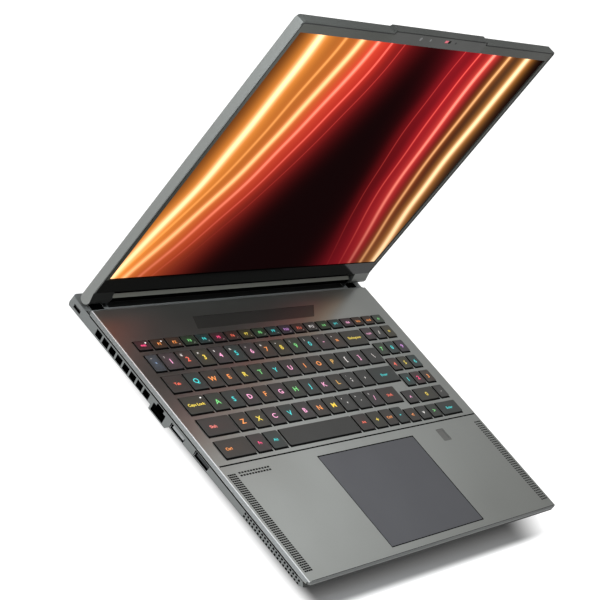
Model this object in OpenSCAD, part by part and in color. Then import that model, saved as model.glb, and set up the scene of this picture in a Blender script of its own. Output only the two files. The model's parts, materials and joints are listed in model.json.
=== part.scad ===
// Clamshell laptop computer with a 16 inch screen, full keyboard and open lid.
// X runs to the right, Y to the rear, Z up; the feet stand on z = 0.

/* [Base] */
// overall width of the base and lid, mm
body_w = 356; // [335:1:380]
// overall depth of the base, mm
body_d = 254.2; // [240:0.2:270]
// height of the palm rest above the table, mm
deck_z = 17; // [17:0.5:19]
// height of the rubber feet, mm
foot_h = 2; // [1.5:0.25:2]
// wall thickness of the bottom cover, mm
wall = 1.6; // [1.4:0.1:1.8]
// corner radius seen from above, mm
corner_r = 5; // [4:0.5:7]

/* [Lid] */
// how much shorter the lid is than the base is deep, mm
lid_short = 7.2; // [6.6:0.1:8]
// thickness of the lid, mm
lid_t = 6.6; // [6.2:0.1:6.6]
// width of the dark rim beside the lit screen, mm
side_rim = 5.8; // [5.2:0.1:7]
// height of the dark rim above the lit screen, mm
top_rim = 9; // [8:0.1:10]
// height of the lower edge of the lit screen above the palm rest, mm
screen_low = 22.7; // [22:0.1:24]
// height of the raised lip over the camera, mm
camera_lip_h = 2.1; // [1:0.1:2.4]

/* [Keyboard] */
// distance from the side of the base to the first key, mm
key_margin = 16.4; // [16:0.1:17]
// gap between neighbouring key caps, mm
key_gap = 2.4; // [2.2:0.1:2.6]
// gap between two rows of letter keys, mm
row_gap = 3.8; // [3.6:0.1:4.2]
// height of the key tops above the palm rest, mm
key_rise = 0.9; // [0.6:0.05:1]
// how far a key goes down, mm
key_travel = 1.4; // [1.2:0.1:1.4]

/* [Touchpad] */
// width of the touchpad, mm
pad_w = 131; // [120:1:140]
// distance from the touchpad to the groove and to the front edge, mm
pad_margin = 7.7; // [7.5:0.1:10]

/* [Cooling] */
// diameter of each fan rotor, mm
fan_d = 58; // [52:1:58]
// number of blades on each fan rotor
fan_blades = 21; // [15:2:25]

/* [Hidden] */
$fn = 64;
hw = body_w / 2;
yf = -body_d / 2;
yr = body_d / 2;
eps = 0.01;
// screen plane, hinge axis and lid limits
disp_y = yr - 11.7;
axis_y = disp_y + 1.4;
axis_z = deck_z + 3.4;
barrel_r = 4.1;
pin_r = 1.5;
pin_fit = 0.05;
lid_back = axis_y + barrel_r;
lid_front = lid_back - lid_t;
lid_h = body_d - lid_short;
lid_top = deck_z + lid_h;
screen_w = body_w - 2 * side_rim;
screen_h = lid_h - screen_low - top_rim;
screen_z0 = deck_z + screen_low;
screen_z1 = screen_z0 + screen_h;
chin_z0 = deck_z + screen_low - 12.3;
lens_z = lid_top - 2.8;
bar_end = hw - 25.5;
ear_in = hw - 22.5;
eye_x = hw - 24;
// base levels
ledge_z = deck_z - 3;
seam_z = deck_z - 2.2;
seam_in = 0.7;
floor_z = foot_h;
deck_in = hw - 2;
deck_rear = disp_y - 7.2;
deck_t = 1.6;
deck_under = deck_z - deck_t;
flank_tilt = 18.4;
flank_rise = 0.81;
// keyboard: cap left edges, front edges and widths
key_top = deck_z + key_rise;
key_low = deck_under - 0.5;
carrier_t = 0.3;
clear = 0.35;
kx0 = -hw + key_margin;
key_span = 16 + 5 / 6;
key_pitch = -2 * kx0 / key_span;
key_depth = key_pitch - row_gap;
ku = key_pitch / 19.2;
letter_w = key_pitch - key_gap;
row_y = disp_y - 46 - 5 * key_pitch;
fn_pitch = 17.37 * ku;
fn_w = fn_pitch - key_gap + 0.03;
fn_d = 8.9;
pad_x = [115.7 * ku, 131.5 * ku, 147.1 * ku];
pad_kw = 15.4 * ku - key_gap;
pad_row = 16.2 * ku;
pad_kd = pad_row - 3.5;
pad_y = row_y - 0.5;
block_r = 112.7 * ku;
back_x = 83.2 * ku;
enter_x = 77.8 * ku;
arrow_up_w = 17.4 * ku - key_gap;
plate_z = key_low - key_travel - 1.2;
// touchpad and reader
groove_y = row_y - 4.5;
pad_d = groove_y - yf - 2 * pad_margin;
tp_y = (groove_y + yf) / 2;
reader_x = pad_w / 2 + 41.8;
reader_y = row_y - 16.6;
reader_s = 11.4;
// cooling and board
fan_x = hw - 54;
fan_y = yr - 61.6;
fin_x = fan_x - 7;
fan_z0 = 4.4;
fan_h = 6.2;
board_z = 6.6;
board_t = 1.2;
// board, battery, drive and speaker edges, from the sides and the rear
board_x = hw - 20;
board_y0 = yr - 161.1;
chip_y = yr - 75.1;
cell_x = hw - 54;
cell_gap = 2.5;
cell_pitch = (2 * cell_x + cell_gap) / 4;
cell_y = yr - 167.1;
drive_x1 = hw - 31;
drive_x0 = drive_x1 - 77;
memory_r = drive_x0 - 4;
card_x = -hw + 22;
speaker_x = hw - 37;
screw_x = hw - 28;

// shared shapes

// box given by two corners
module span(x0, x1, y0, y1, z0, z1) {
  translate([x0, y0, z0]) cube([x1 - x0, y1 - y0, z1 - z0]);
}

// upright prism with rounded plan corners
module slab(x0, x1, y0, y1, z0, z1, r) {
  translate([0, 0, z0]) linear_extrude(z1 - z0) {
    union() {
      translate([x0 + r, y0]) square([x1 - x0 - 2 * r, y1 - y0]);
      translate([x0, y0 + r]) square([x1 - x0, y1 - y0 - 2 * r]);
      translate([x0 + r, y0 + r]) circle(r);
      translate([x1 - r, y0 + r]) circle(r);
      translate([x0 + r, y1 - r]) circle(r);
      translate([x1 - r, y1 - r]) circle(r);
    }
  }
}

// prism standing in the X-Z plane with rounded corners, from y0 to y1
module panel(x0, x1, z0, z1, y0, y1, r) {
  translate([0, y1, 0]) rotate([90, 0, 0]) linear_extrude(y1 - y0) {
    union() {
      translate([x0 + r, z0]) square([x1 - x0 - 2 * r, z1 - z0]);
      translate([x0, z0 + r]) square([x1 - x0, z1 - z0 - 2 * r]);
      translate([x0 + r, z0 + r]) circle(r);
      translate([x1 - r, z0 + r]) circle(r);
      translate([x0 + r, z1 - r]) circle(r);
      translate([x1 - r, z1 - r]) circle(r);
    }
  }
}

// prism along X of a Y-Z outline
module along_x(x0, x1, pts) {
  translate([x0, 0, 0]) rotate([90, 0, 90]) linear_extrude(x1 - x0) polygon(pts);
}

// prism along Y of an X-Z outline
module along_y(y0, y1, pts) {
  translate([0, y1, 0]) rotate([90, 0, 0]) linear_extrude(y1 - y0) polygon(pts);
}

// round bar along X
module rod_x(x0, x1, y, z, r) {
  translate([x0, y, z]) rotate([0, 90, 0]) cylinder(h = x1 - x0, r = r);
}

// one key cap, its front left corner at x, y
module cap(x, y, w, d) {
  span(x, x + w, y, y + d, key_low, key_top);
}

// thin carrier joining the caps of a row under the deck
module carrier(x0, x1, y, d) {
  span(x0, x1, y + d / 2 - 2, y + d / 2 + 2, key_low, key_low + carrier_t);
}

// hole left in the deck for a cap
module hole(x, y, w, d) {
  span(x - clear, x + w + clear, y - clear, y + d + clear, deck_under - 1, deck_z + 1);
}

// front edge of letter row i, counted from the space bar
function row(i) = row_y + key_pitch * i;

// front edge of numeric pad row i, counted from the front
function prow(i) = pad_y + pad_row * i;

// left edge of the first regular key in rows 1 to 4
first_lower = -123.8 * ku;
first_home = -133.4 * ku;
first_upper = -138 * ku;
first_number = -128.1 * ku;
mod_x = [kx0, -124.3 * ku, -105.1 * ku, 9.9 * ku, 30 * ku, 48.2 * ku, 64.5 * ku];
mod_w = [37.4 * ku - key_gap, letter_w, letter_w, 20 * ku - key_gap, 18.2 * ku - key_gap,
  16.3 * ku - key_gap, 16.4 * ku - key_gap];
space_x = -85.5 * ku;
space_w = 95.4 * ku - key_gap;
arrow_x = [81 * ku, 97.8 * ku, 114.1 * ku];
arrow_w = 16.4 * ku - key_gap;
shift_r_x = 67.8 * ku;
shift_r_w = 27.4 * ku - key_gap;
zero_x = 116 * ku;
zero_w = 31 * ku - key_gap;
pad_enter_x = 130.4 * ku;
tick_x = -147.3 * ku;
tick_w = 14.4 * ku - key_gap;

// key caps

module fn_caps() {
  for (i = [0:15]) cap(kx0 + fn_pitch * i, row(5) , fn_w, fn_d);
  for (i = [0:1]) cap(pad_x[i], row(5), pad_kw, fn_d);
}

module number_caps() {
  cap(kx0, row(4), tick_w, key_depth);
  cap(tick_x, row(4), letter_w, key_depth);
  for (i = [0:10]) cap(first_number + key_pitch * i, row(4), letter_w, key_depth);
}

module upper_caps() {
  for (i = [0:11]) cap(first_upper + key_pitch * i, row(3), letter_w, key_depth);
  cap(first_upper + key_pitch * 12, row(3), block_r - first_upper - key_pitch * 12, key_depth);
}

module home_caps() {
  for (i = [0:10]) cap(first_home + key_pitch * i, row(2), letter_w, key_depth);
}

module lower_caps() {
  for (i = [0:9]) cap(first_lower + key_pitch * i, row(1), letter_w, key_depth);
}

module numpad_caps() {
  for (j = [2:5]) {
    for (i = [0:2]) cap(pad_x[i], prow(j), pad_kw, pad_kd);
  }
  cap(pad_x[2], prow(1), pad_kw, pad_kd);
}

module keys_function() {
  color("#3a3b3a") union() {
    fn_caps();
    carrier(kx0 + 1, pad_x[1] + 2, row(5), fn_d);
  }
}

module key_power() {
  color("#3a3b3a") cap(pad_x[2], row(5), pad_kw, fn_d);
}

module keys_number() {
  color("#3a3b3a") union() {
    number_caps();
    carrier(kx0 + 1, first_number + key_pitch * 10 + 2, row(4), key_depth);
  }
}

module key_backspace() {
  color("#3a3b3a") cap(back_x, row(4), block_r - back_x, key_depth);
}

module key_tab() {
  color("#3a3b3a") cap(kx0, row(3), first_upper - key_gap - kx0, key_depth);
}

module keys_upper() {
  color("#3a3b3a") union() {
    upper_caps();
    carrier(first_upper + 1, block_r - 1, row(3), key_depth);
  }
}

module key_caps_lock() {
  color("#3a3b3a") cap(kx0, row(2), first_home - key_gap - kx0, key_depth);
}

module keys_home() {
  color("#3a3b3a") union() {
    home_caps();
    carrier(first_home + 1, first_home + key_pitch * 10 + 2, row(2), key_depth);
  }
}

module key_enter() {
  color("#3a3b3a") cap(enter_x, row(2), block_r - enter_x, key_depth);
}

module key_shift_left() {
  color("#3a3b3a") cap(kx0, row(1), first_lower - key_gap - kx0, key_depth);
}

module keys_lower() {
  color("#3a3b3a") union() {
    lower_caps();
    carrier(first_lower + 1, first_lower + key_pitch * 9 + 2, row(1), key_depth);
  }
}

module key_shift_right() {
  color("#3a3b3a") cap(shift_r_x, row(1), shift_r_w, key_depth);
}

module keys_modifier_left() {
  color("#3a3b3a") union() {
    for (i = [0:2]) cap(mod_x[i], row(0), mod_w[i], key_depth);
    carrier(kx0 + 1, mod_x[2] + 2, row(0), key_depth);
  }
}

module keys_modifier_right() {
  color("#3a3b3a") union() {
    for (i = [3:6]) cap(mod_x[i], row(0), mod_w[i], key_depth);
    carrier(mod_x[3] + 1, mod_x[6] + 2, row(0), key_depth);
  }
}

module key_space() {
  color("#3a3b3a") cap(space_x, row(0), space_w, key_depth);
}

module key_arrow_left() {
  color("#3a3b3a") cap(arrow_x[0], prow(0), arrow_w, pad_kd);
}

module key_arrow_down() {
  color("#3a3b3a") cap(arrow_x[1], prow(0), arrow_w, pad_kd);
}

module key_arrow_right() {
  color("#3a3b3a") cap(arrow_x[2], prow(0), arrow_w, pad_kd);
}

module key_arrow_up() {
  color("#3a3b3a") cap(arrow_x[1], prow(1), arrow_up_w, pad_kd);
}

module keys_numpad() {
  color("#3a3b3a") union() {
    numpad_caps();
    for (i = [0:2]) {
      span(pad_x[i] + 5, pad_x[i] + 8, prow(2) + 1, prow(5) + 2, key_low, key_low + carrier_t);
    }
    span(pad_x[0] + 5, pad_x[2] + 8, prow(3) + 5, prow(3) + 8, key_low, key_low + carrier_t);
    span(pad_x[2] + 5, pad_x[2] + 8, prow(1) + 5, prow(2) + 2, key_low, key_low + carrier_t);
  }
}

module key_numpad_zero() {
  color("#3a3b3a") cap(zero_x, prow(1), zero_w, pad_kd);
}

module key_numpad_enter() {
  color("#3a3b3a") cap(pad_enter_x, prow(0), pad_x[2] + pad_kw - pad_enter_x, pad_kd);
}

module key_holes() {
  for (i = [0:15]) hole(kx0 + fn_pitch * i, row(5), fn_w, fn_d);
  for (i = [0:2]) hole(pad_x[i], row(5), pad_kw, fn_d);
  hole(kx0, row(4), tick_w, key_depth);
  hole(tick_x, row(4), letter_w, key_depth);
  for (i = [0:10]) hole(first_number + key_pitch * i, row(4), letter_w, key_depth);
  hole(back_x, row(4), block_r - back_x, key_depth);
  hole(kx0, row(3), first_upper - key_gap - kx0, key_depth);
  for (i = [0:11]) hole(first_upper + key_pitch * i, row(3), letter_w, key_depth);
  hole(first_upper + key_pitch * 12, row(3), block_r - first_upper - key_pitch * 12, key_depth);
  hole(kx0, row(2), first_home - key_gap - kx0, key_depth);
  for (i = [0:10]) hole(first_home + key_pitch * i, row(2), letter_w, key_depth);
  hole(enter_x, row(2), block_r - enter_x, key_depth);
  hole(kx0, row(1), first_lower - key_gap - kx0, key_depth);
  for (i = [0:9]) hole(first_lower + key_pitch * i, row(1), letter_w, key_depth);
  hole(shift_r_x, row(1), shift_r_w, key_depth);
  for (i = [0:6]) hole(mod_x[i], row(0), mod_w[i], key_depth);
  hole(space_x, row(0), space_w, key_depth);
  for (i = [0:2]) hole(arrow_x[i], prow(0), arrow_w, pad_kd);
  hole(arrow_x[1], prow(1), arrow_up_w, pad_kd);
  for (j = [2:5]) {
    for (i = [0:2]) hole(pad_x[i], prow(j), pad_kw, pad_kd);
  }
  hole(pad_x[2], prow(1), pad_kw, pad_kd);
  hole(zero_x, prow(1), zero_w, pad_kd);
  hole(pad_enter_x, prow(0), pad_x[2] + pad_kw - pad_enter_x, pad_kd);
}

// base

// deck plate with a bevelled edge, key holes, touchpad and reader openings
module top_case() {
  color("#8e908e") difference() {
    intersection() {
      slab(-hw, hw, yf, deck_rear + 2, seam_z, deck_z, corner_r);
      along_y(yf, deck_rear + 2, [[-hw, seam_z], [hw, seam_z], [hw, seam_z + 0.2],
        [deck_in + 0.4, deck_z - 0.25], [deck_in - 0.4, deck_z], [-deck_in + 0.4, deck_z],
        [-deck_in - 0.4, deck_z - 0.25], [-hw, seam_z + 0.2]]);
      along_x(-hw, hw, [[yf, seam_z], [deck_rear + 2, seam_z], [deck_rear, deck_z],
        [yf + 1.2, deck_z], [yf, deck_z - 1.2]]);
    }
    span(-hw + 3.2, hw - 3.2, yf + 3.2, deck_rear - 2.2, seam_z - 1, deck_under);
    span(-hw + 4, hw - 4, groove_y, groove_y + 1.1, deck_z - 0.6, deck_z + 1);
    key_holes();
    slab(-pad_w / 2 - clear, pad_w / 2 + clear, tp_y - pad_d / 2 - clear,
      tp_y + pad_d / 2 + clear, deck_under - 1, deck_z + 1, 1.4);
    slab(reader_x - reader_s / 2, reader_x + reader_s / 2, reader_y - reader_s / 2,
      reader_y + reader_s / 2, deck_z - 0.8, deck_z + 1, 1);
    inlay_shape(deck_z - 0.7, deck_z + 1, 0);
  }
}

// slanted outline of the inlay above the keyboard
module inlay_shape(z0, z1, inset) {
  translate([0, 0, z0]) linear_extrude(z1 - z0)
    polygon([[-81 + inset, disp_y - 31.6 + inset], [70.5 - inset, disp_y - 31.6 + inset],
      [83 - inset * 2, disp_y - 20.2 - inset], [-76 + inset, disp_y - 20.2 - inset]]);
}

// thin smooth insert seated in the deck above the keyboard
module deck_inlay() {
  color("#2f302f") inlay_shape(deck_z - 0.7, deck_z - 0.1, 0.1);
}

// removes what lies below the sloping flank on the left; inset moves it inwards
module flank_cut(inset) {
  translate([-hw + 2.7, yr, 5.1]) rotate([-flank_rise, flank_tilt, 0])
    translate([-60, -body_d - 60, -40 + inset]) cube([120, body_d + 120, 40]);
}

// outside of the bottom cover before it is hollowed
module cover_solid() {
  union() {
    difference() {
      intersection() {
        slab(-hw, hw, yf, yr, floor_z, seam_z, corner_r);
        along_y(yf, yr, [[-hw + 4.2, floor_z], [hw - 4.2, floor_z],
          [hw, 14.4], [hw - seam_in, 14.4], [hw - seam_in, seam_z],
          [-hw + seam_in, seam_z], [-hw + seam_in, 14.4], [-hw, 14.4]]);
        along_x(-hw, hw, [[yf + 14, floor_z], [yr - 5, floor_z], [yr - 1.2, 5.4], [yr, ledge_z],
          [deck_rear + 3.4, ledge_z], [deck_rear + 2.2, seam_z], [yf, seam_z],
          [yf, deck_z - 4.3]]);
      }
      flank_cut(0);
      mirror([1, 0, 0]) flank_cut(0);
    }
    // deeper pocket below the network socket
    intersection() {
      along_y(disp_y - 102.6, disp_y - 81.5, [[-hw + 22, 3], [-hw + 3.6, 3], [-hw, 14.4],
        [-hw + 22, 14.4]]);
      along_x(-hw, hw, [[disp_y - 102.6, 9], [disp_y - 99.5, 3], [disp_y - 81.7, 3],
        [disp_y - 81.5, 9], [disp_y - 81.5, 14.4], [disp_y - 102.6, 14.4]]);
    }
  }
}

module cover_cavity() {
  difference() {
    intersection() {
      along_y(yf, yr, [[-hw + 7.2, floor_z + wall], [hw - 7.2, floor_z + wall],
        [hw - 3.2, 14.2], [hw - 3.2, seam_z + 1], [-hw + 3.2, seam_z + 1], [-hw + 3.2, 14.2]]);
      along_x(-hw, hw, [[yf + 14.6, floor_z + wall], [yr - 8, floor_z + wall], [yr - 4.2, 7],
        [yr - 4.2, ledge_z - wall], [deck_rear - 1, ledge_z - wall],
        [deck_rear - 1, seam_z + 1], [yf + 2.9, seam_z + 1], [yf + 2.9, deck_z - 4.4]]);
    }
    flank_cut(wall);
    mirror([1, 0, 0]) flank_cut(wall);
  }
}

// centres of the side openings, measured forward from the screen plane
net_y = disp_y - 89.8;
usb1_y = disp_y - 109.6;
usb2_y = disp_y - 134.8;
lock_y = disp_y + 2.6;

module side_vents(s) {
  for (i = [0:7]) {
    span(s > 0 ? hw - 8 : -hw - 1, s > 0 ? hw + 1 : -hw + 8,
      disp_y - 24.9 - 7.63 * i, disp_y - 18.9 - 7.63 * i, 6.9, 12.5);
  }
}

module speaker_holes(s) {
  for (i = [0:19]) {
    for (j = [0:1]) {
      span(s > 0 ? hw - 6 : -hw - 1, s > 0 ? hw + 1 : -hw + 6,
        yf + 5.7 + 2.9 * i, yf + 7.3 + 2.9 * i, 9 + 2.6 * j, 10.6 + 2.6 * j);
    }
  }
}

module bottom_cover() {
  color("#7d7f7e") difference() {
    cover_solid();
    cover_cavity();
    side_vents(-1);
    side_vents(1);
    speaker_holes(-1);
    speaker_holes(1);
    // network, usb and lock openings on the left
    span(-hw - 1, -hw + 21, net_y - 6.4, net_y + 6.4, 4, 10.8);
    span(-hw - 1, -hw + 14, net_y - 3.6, net_y + 3.6, 10, 13.2);
    span(-hw - 1, -hw + 14, usb1_y - 7.3, usb1_y + 7.3, 7, 11.8);
    span(-hw - 1, -hw + 14, usb2_y - 7.3, usb2_y + 7.3, 7.8, 13.4);
    span(-hw - 1, -hw + 5, lock_y - 3.5, lock_y + 3.5, 7.4, 10.4);
    // usb, card and audio openings on the right
    span(hw - 14, hw + 1, disp_y - 99.3, disp_y - 84.7, 7.4, 13);
    span(hw - 14, hw + 1, disp_y - 120.5, disp_y - 107.5, 9.5, 11.9);
    translate([hw - 14, disp_y - 132, 10.4]) rotate([0, 90, 0]) cylinder(h = 16, r = 2.6);
    // exhaust, video, usb and power openings at the rear
    for (i = [0:9]) {
      span(-hw + 28 + 7 * i, -hw + 32.5 + 7 * i, yr - 9, yr + 1, 6, 12);
      span(hw - 32.5 - 7 * i, hw - 28 - 7 * i, yr - 9, yr + 1, 6, 12);
    }
    span(-7.5, 7.5, yr - 14, yr + 1, 7.3, 11.9);
    span(24.5, 33.5, yr - 14, yr + 1, 8, 11.2);
    span(-33.5, -24.5, yr - 14, yr + 1, 8, 11.2);
    translate([52, yr - 14, 9.6]) rotate([-90, 0, 0]) cylinder(h = 16, r = 2.9);
    // air intake under each fan
    for (s = [-1, 1]) {
      for (i = [0:11]) {
        span(s * fan_x - 29 + 5 * i, s * fan_x - 26.4 + 5 * i, fan_y - 22, fan_y + 22, 1, 4.3);
      }
    }
    // slot for the hinge brackets
    for (s = [-1, 1]) {
      span(s * eye_x - 2.2, s * eye_x + 2.2, axis_y - 3.4, axis_y + 3.4, ledge_z - 3, ledge_z + 1);
    }
    // seat of the dark trim in front of the hinge
    span(-ear_in + 4, ear_in - 4, deck_rear + 4.4, yr - 2.2, ledge_z - 0.8, ledge_z + 1);
    // lower screw holes
    for (x = [-screw_x, -50, 50, screw_x]) {
      translate([x, yr - 22, 1]) cylinder(h = 4, r = 1.6);
      translate([x, yf + 24, 1]) cylinder(h = 4, r = 1.6);
    }
  }
}

// dark plastic strip lying on the ledge under the hinge bar
module rear_trim() {
  color("#161716") difference() {
    span(-ear_in + 4.1, ear_in - 4.1, deck_rear + 4.5, yr - 2.3, ledge_z - 0.8, ledge_z + 0.2);
    for (s = [-1, 1]) {
      span(s * eye_x - 3, s * eye_x + 3, axis_y - 3.6, axis_y + 3.6, ledge_z - 3, ledge_z + 1);
    }
  }
}

module rubber_feet() {
  color("#1b1b1b") union() {
    slab(-140, -60, yf + 16, yf + 23, 0, floor_z, 3);
    slab(60, 140, yf + 16, yf + 23, 0, floor_z, 3);
    slab(-screw_x, screw_x, yr - 18, yr - 10, 0, floor_z, 3);
  }
}

module bottom_screws() {
  color("#2a2a2a") for (x = [-screw_x, -50, 50, screw_x]) {
    for (y = [yr - 22, yf + 24]) {
      translate([x, y, floor_z + 0.2]) cylinder(h = wall - 0.3, r = 1.2);
      translate([x, y, floor_z + 0.2]) cylinder(h = 1.1, r = 1.5);
    }
  }
}

// inside the base

module motherboard() {
  color("#1d4a33") union() {
    span(-fan_x + 39, fan_x - 39, board_y0 + 42, yr - 31.1, board_z, board_z + board_t);
    span(-board_x, board_x, board_y0, board_y0 + 50, board_z, board_z + board_t);
    for (x = [-fan_x + 44, fan_x - 44]) {
      for (y = [board_y0 + 48, yr - 37.1]) {
        translate([x, y, floor_z + wall]) cylinder(h = board_z - floor_z - wall, r = 2.4);
      }
    }
    for (x = [-screw_x, screw_x]) {
      translate([x, board_y0 + 6, floor_z + wall]) cylinder(h = board_z - floor_z - wall, r = 2.4);
    }
  }
}

module battery() {
  color("#222426") union() {
    for (i = [0:3]) {
      slab(-cell_x + cell_pitch * i, -cell_x + cell_pitch * (i + 1) - cell_gap, yf + 15.5, cell_y,
        floor_z + wall, 10.6, 2);
    }
    span(-cell_x + 24, cell_x - 24, cell_y - 30, cell_y - 20, floor_z + wall, 9);
  }
}

// copper blocks on the two main chips
module cold_plate() {
  color("#b87333") union() {
    span(-48, -8, chip_y - 18, chip_y + 18, board_z + board_t, board_z + board_t + 1.6);
    span(18, 62, chip_y - 22, chip_y + 22, board_z + board_t, board_z + board_t + 1.6);
  }
}

module heat_pipes() {
  color("#c07a3c") union() {
    for (y = [chip_y - 8, chip_y + 2, chip_y + 12]) {
      span(-fan_x + 40, fan_x - 40, y - 3, y + 3, board_z + board_t + 1.6, board_z + board_t + 3.8);
    }
    for (s = [-1, 1]) {
      span(s * (fan_x - 40) - 4, s * (fan_x - 40) + 4, chip_y - 11, fan_y + 39.5,
        board_z + board_t + 1.6, board_z + board_t + 3.8);
      span(s * fin_x - 36, s * fin_x + 36, fan_y + 33.5, fan_y + 39.5, board_z + board_t + 1.6,
        board_z + board_t + 3.8);
    }
  }
}

module fin_stacks() {
  color("#a8a8a4") for (s = [-1, 1]) {
    difference() {
      span(s * fin_x - 36, s * fin_x + 36, fan_y + 32.5, fan_y + 52.9, floor_z + wall,
        board_z + board_t + 1.6);
      for (i = [0:22]) {
        span(s * fin_x - 34.5 + 3 * i, s * fin_x - 32.9 + 3 * i, fan_y + 31, fan_y + 55,
          4.4, 7.4);
      }
    }
  }
}

module fan_housing(s) {
  difference() {
    slab(s * fan_x - 34, s * fan_x + 34, fan_y - 32, fan_y + 32, floor_z + wall,
      fan_z0 + fan_h + 1.4, 6);
    translate([s * fan_x, fan_y, fan_z0]) cylinder(h = fan_h + 0.6, r = fan_d / 2 + 1.4);
    translate([s * fan_x, fan_y, 0]) cylinder(h = 20, r = 22);
    span(s * fan_x - 30, s * fan_x + 30, fan_y, fan_y + 40, fan_z0, fan_z0 + fan_h);
  }
  // spider arms and spindle that carry the rotor
  span(s * fan_x - 26, s * fan_x + 26, fan_y - 1.6, fan_y + 1.6, floor_z + wall, fan_z0 - 0.2);
  span(s * fan_x - 1.6, s * fan_x + 1.6, fan_y - 26, fan_y + 26, floor_z + wall, fan_z0 - 0.2);
  translate([s * fan_x, fan_y, floor_z + wall]) cylinder(h = fan_h + 0.4, r = 1.2);
}

module fan_housing_left() {
  color("#26282a") union() fan_housing(-1);
}

module fan_housing_right() {
  color("#26282a") union() fan_housing(1);
}

module fan_rotor(s) {
  translate([s * fan_x, fan_y, fan_z0 + 0.2]) difference() {
    union() {
      cylinder(h = fan_h - 0.4, r = 12);
      cylinder(h = 0.8, r = fan_d / 2 - 1);
      for (i = [0:fan_blades - 1]) {
        rotate([0, 0, 360 / fan_blades * i]) translate([11, -0.4, 0]) rotate([0, 0, 24])
          cube([fan_d / 2 - 15, 0.8, fan_h - 0.6]);
      }
    }
    translate([0, 0, -1]) cylinder(h = fan_h + 2, r = 1.2 + pin_fit);
  }
}

module fan_rotor_left() {
  color("#3c3f42") fan_rotor(-1);
}

module fan_rotor_right() {
  color("#3c3f42") fan_rotor(1);
}

module memory_modules() {
  color("#23543c") for (x = [memory_r - 112, memory_r - 36]) {
    span(x - 34, x + 34, board_y0 + 4, board_y0 + 34, board_z + board_t + 1.4,
      board_z + board_t + 2.4);
    span(x - 36, x + 36, board_y0 + 32, board_y0 + 38, board_z + board_t, board_z + board_t + 3);
  }
}

module solid_state_drive() {
  color("#222826") union() {
    span(drive_x0, drive_x1 - 3, board_y0 + 16, board_y0 + 38, board_z + board_t + 1,
      board_z + board_t + 2);
    span(drive_x1 - 5, drive_x1, board_y0 + 16, board_y0 + 38, board_z + board_t,
      board_z + board_t + 2.8);
    translate([drive_x0 + 2, board_y0 + 27, board_z + board_t]) cylinder(h = 1, r = 2);
  }
}

module wireless_card() {
  color("#2c5f8a") union() {
    span(card_x + 4, card_x + 34, board_y0 + 4, board_y0 + 26, board_z + board_t + 1,
      board_z + board_t + 1.8);
    span(card_x, card_x + 6, board_y0 + 4, board_y0 + 26, board_z + board_t,
      board_z + board_t + 2.6);
    translate([card_x + 32, board_y0 + 15, board_z + board_t]) cylinder(h = 1, r = 2);
  }
}

module speaker_box(s) {
  difference() {
    slab(s * speaker_x - 14, s * speaker_x + 14, yf + 17, cell_y + 2, floor_z + wall, 11.4, 2);
    translate([s * (speaker_x + 3), yf + 38, 9.6]) cylinder(h = 4, r = 7.5);
  }
  translate([s * (speaker_x + 3), yf + 38, 9.2]) cylinder(h = 1.2, r = 6.6);
}

module speaker_left() {
  color("#1f2021") union() speaker_box(-1);
}

module speaker_right() {
  color("#1f2021") union() speaker_box(1);
}

// steel plate under the keys, hung from the deck by edge rails
module keyboard_plate() {
  color("#4b4d4f") difference() {
    union() {
      span(kx0 - 6.4, 4.4 - kx0, row(0) - 3, row(5) + fn_d + 4, plate_z, plate_z + 0.8);
      span(kx0 - 6.4, kx0 - 2.8, row(0) - 3, row(5) + fn_d + 4, plate_z, deck_under);
      span(0.8 - kx0, 4.4 - kx0, row(0) - 3, row(5) + fn_d + 4, plate_z, deck_under);
      span(kx0 - 6.4, 4.4 - kx0, row(5) + fn_d + 2, row(5) + fn_d + 4, plate_z, deck_under);
    }
    for (i = [0:5]) {
      span(kx0 + (11.6 + 52 * i) * ku, kx0 + (33.6 + 52 * i) * ku, row(4) - 3.2, row(4) - 1.6,
        plate_z - 1, plate_z + 2);
    }
    // notches over the deeper sockets
    span(-hw + 8, -hw + 18.2, usb2_y - 7.6, usb2_y + 7.6, plate_z - 1, 13.7);
    span(hw - 21, hw - 10, disp_y - 99.6, disp_y - 84.4, plate_z - 1, 13.3);
    span(hw - 21, hw - 10, disp_y - 135, disp_y - 129, plate_z - 1, 13.3);
  }
}

module touchpad() {
  color("#5b5c60") slab(-pad_w / 2, pad_w / 2, tp_y - pad_d / 2, tp_y + pad_d / 2,
    deck_z - 1.9, deck_z - 0.1, 1.2);
}

module fingerprint_reader() {
  color("#4c4d4d") difference() {
    slab(reader_x - reader_s / 2 + 0.1, reader_x + reader_s / 2 - 0.1,
      reader_y - reader_s / 2 + 0.1, reader_y + reader_s / 2 - 0.1,
      deck_z - 0.8, deck_z - 0.1, 0.9);
    slab(reader_x - 4, reader_x + 4, reader_y - 4, reader_y + 4, deck_z - 0.3, deck_z + 1, 0.8);
  }
}

// eye, arm, foot and steel pin of one hinge, fixed in the base
module hinge_bracket(s) {
  difference() {
    union() {
      rod_x(s * eye_x - 1.15, s * eye_x + 1.15, axis_y, axis_z, 2.9);
      span(s * eye_x - 1.15, s * eye_x + 1.15, axis_y - 2.2, axis_y + 2.2, ledge_z - wall - 1.8, axis_z);
      span(s * (eye_x - 6) - 12, s * (eye_x - 6) + 12, axis_y - 9, axis_y + 3,
        ledge_z - wall - 1.8, ledge_z - wall);
    }
    translate([s * (eye_x - 13), axis_y - 5, 5]) cylinder(h = 10, r = 1.2);
  }
  rod_x(s * (eye_x + 1) - 7.4, s * (eye_x + 1) + 7.4, axis_y, axis_z, pin_r);
}

module hinge_bracket_left() {
  color("#565856") union() hinge_bracket(-1);
}

module hinge_bracket_right() {
  color("#565856") union() hinge_bracket(1);
}

// sockets

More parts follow.
